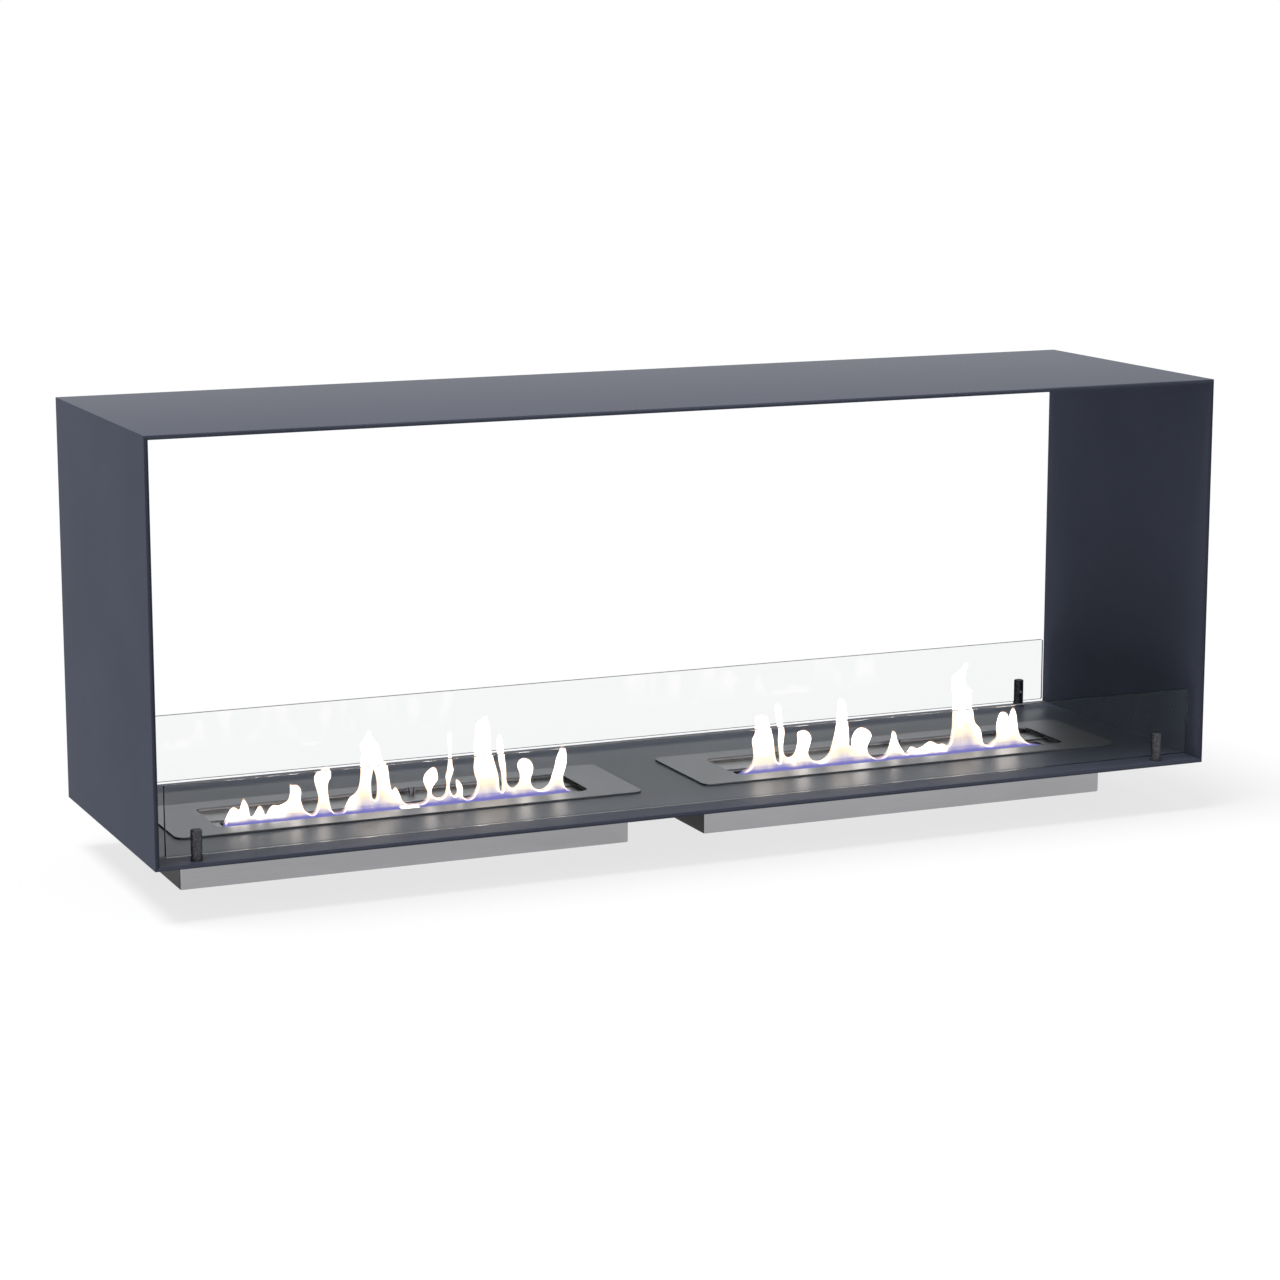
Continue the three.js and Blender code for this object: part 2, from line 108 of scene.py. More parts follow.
RIGHT_FLAME_EDGE = (
    (5.5, 5.5), (13, 9), (19, 15), (21, 23), (20, 34), (19, 45.5), (23, 53.5), (24.5, 64.5),
    (25.5, 75), (29.5, 76.5), (37.5, 76.5), (42, 74.5), (44.5, 67), (47, 56), (49.5, 44.5),
    (51.5, 31.5), (53.5, 20.5), (56, 13.5), (58, 13), (58.5, 20.5), (57, 33), (56, 42),
    (57, 50.5), (55.5, 64), (53, 77.5), (52, 88), (56.5, 89.5), (61, 85.5), (62.5, 74.5),
    (64.5, 63), (66, 52), (65, 41), (64.5, 30.5), (67, 21.5), (72.5, 18), (78.5, 20.5),
    (83, 28.5), (84.5, 39.5), (84, 48.5), (90, 52), (97.5, 51.5), (103.5, 44.5),
    (104.5, 37.5), (102, 29), (100.5, 21), (104, 13.5), (112.5, 10), (122, 11.5),
    (129, 18.5), (132.5, 28.5), (136, 41.5), (138.5, 52.5), (140.5, 63), (143, 74),
    (144, 87), (148.5, 89), (153.5, 84), (156, 73), (156.5, 59.5), (157.5, 48.5),
    (159.5, 35), (161.5, 25), (163, 34.5), (166.5, 43), (172.5, 48), (179.5, 48.5),
    (188, 43.5), (191.5, 36.5), (188.5, 28), (186, 22), (187, 15), (190, 10.5), (196, 7),
    (202, 6.5), (210.5, 9), (216.5, 17), (220, 29.5), (223.5, 40.5), (230, 26.5),
    (237.5, 13.5), (242.5, 8.5), (246.5, 12.5), (251, 17), (258.5, 13.5), (266, 15),
    (278.5, 21.5), (291, 16), (298.5, 16.5), (303.5, 13.5), (308, 20), (311, 37),
    (310.5, 55), (312, 68.5), (310.5, 82), (309, 100), (311.5, 106.5), (321.5, 112.5),
    (328.5, 118.5), (335, 123.5), (335.5, 120), (331.5, 109.5), (330.5, 94), (337, 86.5),
    (340.5, 84), (339.5, 77.5), (339.5, 66), (342.5, 54.5), (345.5, 41), (353, 31.5),
    (356, 20), (358.5, 11.5), (363.5, 9), (371, 12.5), (377.5, 18.5), (378, 31.5),
    (380.5, 44.5), (384, 51), (390.5, 51), (394.5, 47), (396, 43.5), (398.5, 50),
    (401.5, 56.5), (405.5, 51.5), (408.5, 42), (410.5, 28.5), (414, 17.5), (419.5, 11),
    (424.5, 7),
)
LEFT_FLAME_GAP = (
    (191.5, 53.5), (194, 47), (195.5, 36.5), (195.5, 24), (193, 16.5), (190, 19),
    (189, 28.5), (189, 41),
)


def colour_setting(name, description, default):
    return vector_setting(name, description, default, subtype="COLOR", min=0, max=1)


def number_setting(name, description, default, low, high, **kind):
    return FloatProperty(
        name=name, description=description, default=default, min=low, max=high, **kind
    )


def share_setting(name, description, default):
    return number_setting(name, description, default, 0, 1, subtype="FACTOR")


def length_setting(name, description, default, low, high):
    """A length in metres, with its default and limits given in millimetres."""
    return number_setting(name, description, default * MM, low * MM, high * MM, unit="LENGTH")


def vector_setting(name, description, default, **kind):
    return FloatVectorProperty(name=name, description=description, default=default, **kind)


class PaintSettings(bpy.types.PropertyGroup):
    """The paint on the casing."""

    colour: colour_setting(
        "Paint colour",
        "Colour of the anthracite paint on the four casing panels",
        (0.074, 0.083, 0.117),
    )
    roughness: share_setting("Paint roughness", "How matt the paint is", 0.18)
    floor_roughness: share_setting(
        "Floor roughness", "How matt the enamel on the floor panel is", 0.37
    )
    grain: length_setting("Grain size", "Width of a bump of the sprayed texture", 1.6, 0.2, 10)
    relief: length_setting("Grain height", "Height of the sprayed texture", 0.012, 0, 1)


class SteelSettings(bpy.types.PropertyGroup):
    """The stainless steel of the burners."""

    housing_colour: colour_setting(
        "Housing steel", "Colour of the brushed boxes under the floor", (0.43, 0.43, 0.445)
    )
    plate_colour: colour_setting(
        "Plate steel", "Colour of the burner plates", (0.207, 0.211, 0.226)
    )
    inner_colour: colour_setting(
        "Inner steel",
        "Colour of the decks, dampers, rails and fuel tanks",
        (0.29, 0.295, 0.305),
    )
    brushing: length_setting(
        "Brush mark width", "Width of one brush mark across the grain", 0.5, 0.1, 5
    )
    ease: length_setting(
        "Edge rounding", "Rounding on the edges of the sheet steel", 0.25, 0.05, 0.6
    )


class GlassSettings(bpy.types.PropertyGroup):
    """The toughened glass of the two panes."""

    tint: colour_setting(
        "Glass tint", "What the glass lets through its faces", (0.915, 0.926, 0.926)
    )
    front_gloss: colour_setting(
        "Front pane's reflections",
        "Colour and strength of what the front pane reflects",
        (0.05, 0.07, 0.06),
    )
    rear_gloss: colour_setting(
        "Rear pane's reflections",
        "Colour and strength of what the rear pane reflects",
        (0.14, 0.1, 0.1),
    )
    # The glass's green edge colour, also used as painted shade over the rims
    rim_shade_colour: colour_setting(
        "Glass rim",
        "Colour of the glass seen through its polished rim",
        (0.01, 0.026, 0.022),
    )


class PostSettings(bpy.types.PropertyGroup):
    """The black posts that carry the panes."""

    colour: colour_setting(
        "Post colour", "Colour of the blackened posts", (0.013, 0.013, 0.016)
    )
    turning: length_setting(
        "Turning mark spacing", "Distance between the turning marks round a post", 1.5, 0.2, 5
    )


class WoolSettings(bpy.types.PropertyGroup):
    """The ceramic wool in the fuel tanks."""

    colour: colour_setting(
        "Wool colour", "Colour of the clean ceramic wool", (0.72, 0.69, 0.62)
    )
    unevenness: length_setting(
        "Unevenness", "How far the top of the wool rises and sinks", 1.2, 0, 2.5
    )


class FlameSettings(bpy.types.PropertyGroup):
    """The flames over the two slots."""

    hot_colour: colour_setting(
        "Flame colour", "Colour of the bright part of a flame", (1.0, 0.93, 0.87)
    )
    edge_colour: colour_setting(
        "Flame edge", "Colour of the thin glow round a flame", (0.32, 0.19, 0.11)
    )
    middle_colour: colour_setting(
        "Flame middle",
        "Colour of a broad flame between its base and its tip",
        (0.333, 0.28, 0.197),
    )
    veil_colour: colour_setting(
        "Flame veil",
        "Colour of the thin veil between a flame's base and its middle",
        (0.147, 0.13, 0.183),
    )
    base_colour: colour_setting(
        "Flame base", "Colour of the flame just over the fuel", (0.038, 0.037, 0.11)
    )
    strength: number_setting(
        "Brightness", "Strength of the light that a flame gives", 6.3, 0, 20
    )
    thickness: length_setting(
        "Tongue half thickness", "Half the thickness of a broad tongue, front to back", 8, 1, 15
    )
    base_flare: length_setting(
        "Base flare", "How much thicker each half is at the slot", 6, 0, 10
    )


class StageSettings(bpy.types.PropertyGroup):
    """The studio: camera, floor and light."""

    camera_place: vector_setting(
        "Camera",
        "Where the camera stands",
        (-1.6749, -3.8094, 1.0433),
        subtype="TRANSLATION",
        unit="LENGTH",
    )
    camera_target: vector_setting(
        "Target",
        "What the camera looks at",
        (-0.0982, -0.2, 0.2871),
        subtype="TRANSLATION",
        unit="LENGTH",
    )
    lens: number_setting("Lens", "Focal length in millimetres", 94.3, 10, 300)
    surroundings: share_setting(
        "Surroundings", "How much light the white surroundings give to matt surfaces", 0.33
    )
    lamp_strength: number_setting(
        "Lamp", "Strength of the broad lamp above the left of the fireplace", 2.5, 0, 10
    )
    lamp_direction: vector_setting(
        "Lamp direction",
        "From the fireplace towards the lamp above",
        (-0.267, 0, 0.963),
        subtype="DIRECTION",
    )
    lamp_spread: number_setting(
        "Lamp spread",
        "How broad the lamp looks from the fireplace",
        math.radians(25),
        0,
        math.pi,
        subtype="ANGLE",
        unit="ROTATION",
    )
    bounce: share_setting(
        "Floor bounce", "How much of its light the floor gives back to matt surfaces", 0.9
    )
    floor_glow: share_setting(
        "Floor glow", "How far the floor's own white lies over its lit colour", 0.73
    )


class FireplaceSettings(bpy.types.PropertyGroup):
    """Everything that can be set on the fireplace."""

    paint: PointerProperty(type=PaintSettings)
    steel: PointerProperty(type=SteelSettings)
    glass: PointerProperty(type=GlassSettings)
    posts: PointerProperty(type=PostSettings)
    wool: PointerProperty(type=WoolSettings)
    flames: PointerProperty(type=FlameSettings)
    stage: PointerProperty(type=StageSettings)


class Value:
    """A shader socket that ordinary arithmetic works on."""

    def __init__(self, tree, socket):
        self.tree = tree
        self.socket = socket

    def math(self, operation, *operands):
        return self.tree.node(
            "ShaderNodeMath", {"operation": operation}, dict(enumerate(operands))
        )

    def __add__(self, other):
        return self.math("ADD", self, other)

    def __radd__(self, other):
        return self.math("ADD", other, self)

    def __sub__(self, other):
        return self.math("SUBTRACT", self, other)

    def __rsub__(self, other):
        return self.math("SUBTRACT", other, self)

    def __mul__(self, other):
        return self.math("MULTIPLY", self, other)

    def __rmul__(self, other):
        return self.math("MULTIPLY", other, self)

    def __truediv__(self, other):
        return self.math("DIVIDE", self, other)

    def __abs__(self):
        return self.math("ABSOLUTE", self)

    def wave(self):
        """A wave between nought and one, as long as a full turn of the value."""
        return self.math("SINE", self) * 0.5 + 0.5

    def at_least(self, other):
        return self.math("MAXIMUM", self, other)

    def above(self, limit):
        """One where the value lies above a limit, and nought elsewhere."""
        return self.math("GREATER_THAN", self, limit)

    def rise(self, low, high):
        """Nought below low, one above high, and a smooth step between."""
        inputs = {"Value": self, "From Min": low, "From Max": high}
        return self.tree.node(
            "ShaderNodeMapRange", {"interpolation_type": "SMOOTHSTEP"}, inputs
        )

    def between(self, low, high):
        """Goes from low to high as the value goes from nought to one."""
        return self * (high - low) + low


class Tree:
    """The nodes of a material or of the world."""

    # A Mix node has its sockets once for each type of value. These are the colours
    mix_first = 6
    mix_second = 7
    mix_result = 2

    def __init__(self, owner):
        owner.use_nodes = True
        self.nodes = owner.node_tree.nodes
        self.links = owner.node_tree.links

    def put(self, socket, value):
        """Links a value to a socket, or sets the socket to a number or a colour."""
        if isinstance(value, Value):
            self.links.new(value.socket, socket)
        elif socket.type == "RGBA":
            socket.default_value = (*value, 1)
        else:
            socket.default_value = value

    def node(self, kind, settings=None, inputs=None, output=0):
        """Adds a node with its settings first, then the values or links of its sockets."""
        node = self.nodes.new(kind)
        for name, value in (settings or {}).items():
            setattr(node, name, value)
        for key, value in (inputs or {}).items():
            self.put(node.inputs[key], value)
        return Value(self, node.outputs[output])

    def place(self, output="Object"):
        return self.node("ShaderNodeTexCoord", output=output)

    def part(self, vector, axis):
        return self.node("ShaderNodeSeparateXYZ", inputs={0: vector}, output=axis)

    def named(self, attribute):
        return self.node("ShaderNodeAttribute", {"attribute_name": attribute}, output="Fac")

    def grain(self, place, scale, detail=2, roughness=0.5):
        """Noise, its scale in features for each metre, one for all axes or one for each."""
        if isinstance(scale, tuple):
            inputs = {0: place, 1: scale}
            place = self.node("ShaderNodeVectorMath", {"operation": "MULTIPLY"}, inputs)
            scale = 1
        inputs = {"Vector": place, "Scale": scale, "Detail": detail, "Roughness": roughness}
        return self.node("ShaderNodeTexNoise", inputs=inputs)

    def blend(self, factor, first, second):
        """Goes from the first colour to the second as the factor goes from nought to one."""
        inputs = {"Factor": factor, self.mix_first: first, self.mix_second: second}
        return self.node("ShaderNodeMix", {"data_type": "RGBA"}, inputs, self.mix_result)

    def shades(self, factor, colour, low, high):
        """Goes from one shade of a colour to another as the factor goes from nought to one."""
        return self.blend(factor, shade(colour, low), shade(colour, high))

    def bump(self, height, distance, strength):
        inputs = {"Height": height, "Distance": distance, "Strength": strength}
        return self.node("ShaderNodeBump", inputs=inputs)

    def seen(self):
        """One for rays that show the background: from the camera, in gloss, through glass."""
        camera, gloss, glass = (
            self.node("ShaderNodeLightPath", output=f"Is {ray} Ray")
            for ray in ("Camera", "Glossy", "Transmission")
        )
        return camera.at_least(gloss).at_least(glass)


class Finish(Tree):
    """A material with one Principled shader."""

    def __init__(self, name, **constants):
        self.material = bpy.data.materials.new(name)
        super().__init__(self.material)
        self.shader = self.nodes["Principled BSDF"]
        self.set(**constants)

    def set(self, **values):
        """Sets sockets of the shader by their names, written with underscores."""
        for name, value in values.items():
            self.put(self.shader.inputs[name.replace("_", " ")], value)

    def cover(self, factor, other):
        """Shows another shader over the first where the factor is one."""
        inputs = {0: factor, 1: Value(self, self.shader.outputs[0]), 2: other}
        mixed = self.node("ShaderNodeMixShader", inputs=inputs)
        self.links.new(mixed.socket, self.nodes["Material Output"].inputs["Surface"])


def shade(colour, factor):
    """A colour made lighter or darker by a factor."""
    return tuple(min(1, part * factor) for part in colour)


def grey(level):
    return (level, level, level)


def mixture(values, shares):
    """The sum of some values, each with its share."""
    return sum(value * share for value, share in zip(values, shares))


def settings(context):
    return context.scene.fireplace


def smoothing():
    """A node group that marks all faces for smooth shading."""
    name = "Smooth faces"
    if name in bpy.data.node_groups:
        return bpy.data.node_groups[name]
    group = bpy.data.node_groups.new(name, "GeometryNodeTree")
    for direction in ("INPUT", "OUTPUT"):
        group.interface.new_socket(
            "Geometry", in_out=direction, socket_type="NodeSocketGeometry"
        )
    start = group.nodes.new("NodeGroupInput")
    smooth = group.nodes.new("GeometryNodeSetShadeSmooth")
    end = group.nodes.new("NodeGroupOutput")
    group.links.new(start.outputs[0], smooth.inputs["Geometry"])
    group.links.new(smooth.outputs[0], end.inputs[0])
    return group


def dress(names, material, rounding=0.0):
    """Gives CAD nodes a material, joined faces and, with a rounding, eased edges."""
    for name in names:
        node = NODES[name]
        node.material_slots[0].material = material
        weld = node.modifiers.new("Join points", "WELD")
        weld.merge_threshold = WELD_REACH
        flat = node.modifiers.new("Join flat faces", "DECIMATE")
        flat.decimate_type = "DISSOLVE"
        flat.angle_limit = FLAT_ANGLE
        if rounding:
            bevel = node.modifiers.new("Ease edges", "BEVEL")
            bevel.width = rounding
            bevel.segments = EASE_SEGMENTS
            bevel.limit_method = "ANGLE"
            bevel.angle_limit = EASED_ANGLE
        node.modifiers.new("Smooth faces", "NODES").node_group = smoothing()
        node.modifiers.new("Even shading", "WEIGHTED_NORMAL").keep_sharp = True


def new_piece(name, mesh, material, body):
    """Adds a smooth mesh of our own with its material, riding on a body."""
    piece = bpy.data.objects.new(name, mesh)
    bpy.context.scene.collection.objects.link(piece)
    mesh.materials.append(material)
    mesh.shade_smooth()
    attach(piece, body)
    return piece


class FIREPLACE_OT_stage(bpy.types.Operator):
    """Sets up the camera, the white floor, the surroundings and the lamp"""

    bl_idname = "fireplace.stage"
    bl_label = "Set up the studio"

    sensor = 36
    farthest = 200
    floor_reach = 60
    floor_paint = 0.9
    floor_white = 1.02

    def execute(self, context):
        stage = settings(context).stage
        scene = context.scene
        scene.view_settings.view_transform = "Standard"
        self.add_camera(scene, stage)
        self.add_surroundings(scene, stage)
        self.add_lamp(scene, stage)
        self.add_floor(scene, stage)
        return {"FINISHED"}

    def add_camera(self, scene, stage):
        data = bpy.data.cameras.new("Camera")
        data.sensor_width = self.sensor
        data.lens = stage.lens
        data.clip_end = self.farthest
        camera = bpy.data.objects.new("Camera", data)
        scene.collection.objects.link(camera)
        camera.location = stage.camera_place
        sight = Vector(stage.camera_target) - Vector(stage.camera_place)
        camera.rotation_euler = sight.to_track_quat("-Z", "Y").to_euler()
        scene.camera = camera

    def add_surroundings(self, scene, stage):
        """Lights matt surfaces dimly, and looks white wherever the surroundings are seen."""
        scene.world = bpy.data.worlds.new("White surroundings")
        tree = Tree(scene.world)
        light = tree.nodes["Background"].inputs
        tree.put(light["Color"], grey(1))
        tree.put(light["Strength"], tree.seen().between(stage.surroundings, 1))

    def add_lamp(self, scene, stage):
        data = bpy.data.lights.new("Broad lamp", "SUN")
        data.energy = stage.lamp_strength
        data.angle = stage.lamp_spread
        lamp = bpy.data.objects.new("Broad lamp", data)
        lamp.rotation_euler = Vector(stage.lamp_direction).to_track_quat("Z", "Y").to_euler()
        lamp.visible_glossy = False
        scene.collection.objects.link(lamp)

    def add_floor(self, scene, stage):
        """A floor that looks white but for a soft shadow, and throws light back up."""
        finish = Finish("White floor", Roughness=1.0, Specular_IOR_Level=0.0)
        seen = finish.seen()
        lit = 1 - stage.floor_glow
        finish.set(
            Base_Color=finish.blend(seen, grey(stage.bounce), grey(self.floor_paint * lit)),
            Emission_Color=finish.blend(seen, grey(0), grey(self.floor_white - lit)),
            Emission_Strength=1.0,
        )
        mesh = bpy.data.meshes.new("Floor")
        half = self.floor_reach
        corners = [(-half, -half, 0), (half, -half, 0), (half, half, 0), (-half, half, 0)]
        mesh.from_pydata(corners, [], [(0, 1, 2, 3)])
        mesh.materials.append(finish.material)
        floor = bpy.data.objects.new("Floor", mesh)
        scene.collection.objects.link(floor)


class FIREPLACE_OT_casing(bpy.types.Operator):
    """Paints the casing panels, and enamels the floor panel"""

    bl_idname = "fireplace.casing"
    bl_label = "Paint the casing"

    paint_ior = 1.025
    floor_ior = 1.27
    floor_tint = (0.86, 0.94, 1)
    # Over this range, towards its open edges, the floor panel grows duller by this much
    floor_wear = 0.22
    wear_range = (145 * MM, 165 * MM)
    cloud_scale = 5
    speck_scale = 900
    shares = (0.7, 0.3)
    tone_range = (0.3, 0.7)
    paint_shades = (0.94, 1.06)
    gloss_range = (-0.04, 0.04)
    relief_strength = 0.6

    def execute(self, context):
        paint = settings(context).paint
        satin = self.finish("Casing paint", paint, paint.roughness, wear=0, IOR=self.paint_ior)
        dress(["casing_top", "casing_left_side", "casing_right_side"], satin)
        enamel = self.finish(
            "Floor enamel",
            paint,
            paint.floor_roughness,
            self.floor_wear,
            IOR=self.floor_ior,
            Specular_Tint=self.floor_tint,
        )
        dress(["casing_floor"], enamel)
        return {"FINISHED"}

    def finish(self, name, paint, roughness, wear, **constants):
        """Sprayed paint, duller by the wear along the casing's open front and back."""
        finish = Finish(name, **constants)
        place = finish.place()
        edge = abs(finish.part(place, "Y")).rise(*self.wear_range) * wear
        peel = finish.grain(place, 1 / paint.grain, detail=1)
        cloud = finish.grain(place, self.cloud_scale, detail=3, roughness=0.6)
        speck = finish.grain(place, self.speck_scale, detail=0)
        tone = mixture((cloud, speck), self.shares).rise(*self.tone_range)
        finish.set(
            Base_Color=finish.shades(tone, paint.colour, *self.paint_shades),
            Roughness=cloud.between(*self.gloss_range) + roughness + edge,
            Normal=finish.bump(peel, paint.relief, self.relief_strength),
        )
        return finish.material


class BrushedSteel(Finish):
    """Steel brushed lengthwise on its faces and sideways on its ends, which are painted darker
    as shade.
    """

    # A brush mark is so many times longer than it is wide
    mark_stretch = 90
    broad_scale = (3, 60, 60)
    stain_scale = 9
    shares = (0.6, 0.15, 0.25)
    tone_range = (0.3, 0.7)
    face_shades = (0.94, 1.06)
    gloss_range = (-0.02, 0.02)
    relief = (0.01 * MM, 0.4)
    # Ends, which face along the length by more than this share, are duller, and painted darker
    # as shade
    end_facing = 0.7
    painted_end_shade = 0.2
    end_dullness = 0.35

    def __init__(self, name, colour, brushing, roughness):
        super().__init__(name, Metallic=1.0)
        place = self.place()
        fine = 1 / brushing
        long = fine / self.mark_stretch
        lengthwise = self.grain(place, (long, fine, fine), detail=3)
        sideways = self.grain(place, (fine, long, fine), detail=3)
        end = abs(self.part(self.place("Normal"), "X")).above(self.end_facing)
        marks = lengthwise * (1 - end) + sideways * end
        broad = self.grain(place, self.broad_scale)
        stain = self.grain(place, self.stain_scale, detail=3, roughness=0.6)
        tone = mixture((marks, broad, stain), self.shares).rise(*self.tone_range)
        face = self.shades(tone, colour, *self.face_shades)
        uneven = marks.between(*self.gloss_range) + stain.between(*self.gloss_range)
        self.set(
            # Painted shade: the ends take a darker shade of the steel's colour
            Base_Color=self.blend(end, face, shade(colour, self.painted_end_shade)),
            Roughness=uneven + roughness + end * self.end_dullness,
            Normal=self.bump(marks, *self.relief),
        )


def dress_steel(steel, name, colour, roughness, kinds):
    """Brushes the pieces of these kinds in both burners."""
    finish = BrushedSteel(name, colour, steel.brushing, roughness)
    names = [f"{side}_{kind}" for side in SIDES for kind in kinds]
    dress(names, finish.material, steel.ease)


class FIREPLACE_OT_housings(bpy.types.Operator):
    """Brushes the two burner housings under the floor"""

    bl_idname = "fireplace.housings"
    bl_label = "Finish the housings"

    roughness = 0.32
    kinds = ("burner_housing",)

    def execute(self, context):
        steel = settings(context).steel
        colour = steel.housing_colour
        dress_steel(steel, "Housing steel", colour, self.roughness, self.kinds)
        return {"FINISHED"}


class FIREPLACE_OT_plates(bpy.types.Operator):
    """Brushes the two burner plates that lie on the floor"""

    bl_idname = "fireplace.plates"
    bl_label = "Finish the burner plates"

    roughness = 0.46
    kinds = ("burner_plate",)

    def execute(self, context):
        steel = settings(context).steel
        dress_steel(steel, "Plate steel", steel.plate_colour, self.roughness, self.kinds)
        return {"FINISHED"}


class FIREPLACE_OT_inner_steel(bpy.types.Operator):
    """Finishes the decks, the guide rails and the fuel tanks"""

    bl_idname = "fireplace.inner_steel"
    bl_label = "Finish the inner steel"

    roughness = 0.38
    kinds = ("slot_deck", "guide_rail_1", "guide_rail_2", "fuel_tank")

    def execute(self, context):
        steel = settings(context).steel
        dress_steel(steel, "Inner steel", steel.inner_colour, self.roughness, self.kinds)
        return {"FINISHED"}


class FIREPLACE_OT_dampers(bpy.types.Operator):
    """Finishes the sliding dampers and their tabs"""

    bl_idname = "fireplace.dampers"
    bl_label = "Finish the dampers"

    roughness = 0.36
    kinds = ("damper", "damper_tab")

    def execute(self, context):
        steel = settings(context).steel
        dress_steel(steel, "Damper steel", steel.inner_colour, self.roughness, self.kinds)
        return {"FINISHED"}


class FIREPLACE_OT_panes(bpy.types.Operator):
    """Makes the front and the rear pane of toughened glass"""

    bl_idname = "fireplace.panes"
    bl_label = "Finish the glass panes"

    # Each rim's axis and direction, and how much of the clear glass its dark cover hides:
    # painted shade, stronger on some rims
    shaded_rims = (("X", 1, 0.35), ("X", -1, 0.95), ("Z", 1, 0.45), ("Z", -1, 0.92))
    facing = 0.5
    rim_ior = 1.05
    rim_scale = (300, 900, 900)
    rim_shades = (0.7, 1.3)
    rim_roughness = (0.1, 0.2)

    def execute(self, context):
        glass = settings(context).glass
        for pane, gloss in (("front", glass.front_gloss), ("rear", glass.rear_gloss)):
            name = f"{pane}_glass"
            dress([name], self.finish(f"Toughened glass {pane}", glass, gloss))
            NODES[name].visible_shadow = False
        return {"FINISHED"}

    def finish(self, name, glass, gloss):
        """Clear glass with rims in the glass's own dark green, painted darker still as shade.
        """
        finish = Finish(name, IOR=1.45, Roughness=0.0, Transmission_Weight=1.0)
        finish.set(Base_Color=glass.tint, Specular_Tint=gloss)
        ground = finish.grain(finish.place(), self.rim_scale)
        edge = finish.node(
            "ShaderNodeBsdfPrincipled",
            inputs={
                "Base Color": finish.shades(ground, glass.rim_shade_colour, *self.rim_shades),
                "Roughness": ground.between(*self.rim_roughness),
                "IOR": self.rim_ior,
            },
        )
        normal = finish.place("Normal")
        # Painted shade: an opaque dark cover over each rim, by its share
        painted_rim_shade = sum(
            (finish.part(normal, axis) * direction).above(self.facing) * share
            for axis, direction, share in self.shaded_rims
        )
        finish.cover(painted_rim_shade, edge)
        return finish.material


class FIREPLACE_OT_posts(bpy.types.Operator):
    """Blackens the four slotted posts"""

    bl_idname = "fireplace.posts"
    bl_label = "Finish the posts"

    worn_scale = 350
    shares = (0.8, 0.2)
    wear_range = (0.3, 0.75)
    # Lighter shade for worn patches and turning ridges: part wear, part painted sheen
    wear_and_sheen_shades = (1, 8)
    gloss_range = (0.32, 0.47)
    relief = (0.03 * MM, 0.8)
    ease = 0.2 * MM

    def execute(self, context):
        posts = settings(context).posts
        finish = Finish("Blackened post", Metallic=0.3)
        place = finish.place()
        turns = finish.part(place, "Z") * (math.tau / posts.turning)
        turning = turns.wave()
        worn = finish.grain(place, self.worn_scale, detail=3)
        # Lighter in worn patches and on the turning ridges: part wear, part a painted sheen
        wear = mixture((worn, turning), self.shares).rise(*self.wear_range)
        finish.set(
            Base_Color=finish.shades(wear, posts.colour, *self.wear_and_sheen_shades),
            Roughness=worn.between(*self.gloss_range),
            Normal=finish.bump(turning, *self.relief),
        )
        dress([f"{post}_post" for post in POSTS], finish.material, self.ease)
        return {"FINISHED"}


class FIREPLACE_OT_fixings(bpy.types.Operator):
    """Finishes the grub screws, the base screws and the rivets"""

    bl_idname = "fireplace.fixings"
    bl_label = "Finish screws and rivets"

    dark = (0.3, 0.3, 0.31)
    light = (0.5, 0.5, 0.51)
    turned_scale = 2500
    worn_scale = 400
    gloss_range = (0.24, 0.38)
    relief = (0.02 * MM, 0.4)
    rivets = 4

    def execute(self, context):
        finish = Finish("Screw steel", Metallic=1.0)
        place = finish.place()
        turned = finish.grain(place, self.turned_scale)
        worn = finish.grain(place, self.worn_scale, detail=3)
        finish.set(
            Base_Color=finish.blend(worn, self.dark, self.light),
            Roughness=turned.between(*self.gloss_range),
            Normal=finish.bump(turned, *self.relief),
        )
        screws = [f"{post}_{kind}_screw" for post in POSTS for kind in ("grub", "base")]
        rivets = [f"{side}_rail_rivet_{i + 1}" for side in SIDES for i in range(self.rivets)]
        dress(screws + rivets, finish.material)
        return {"FINISHED"}


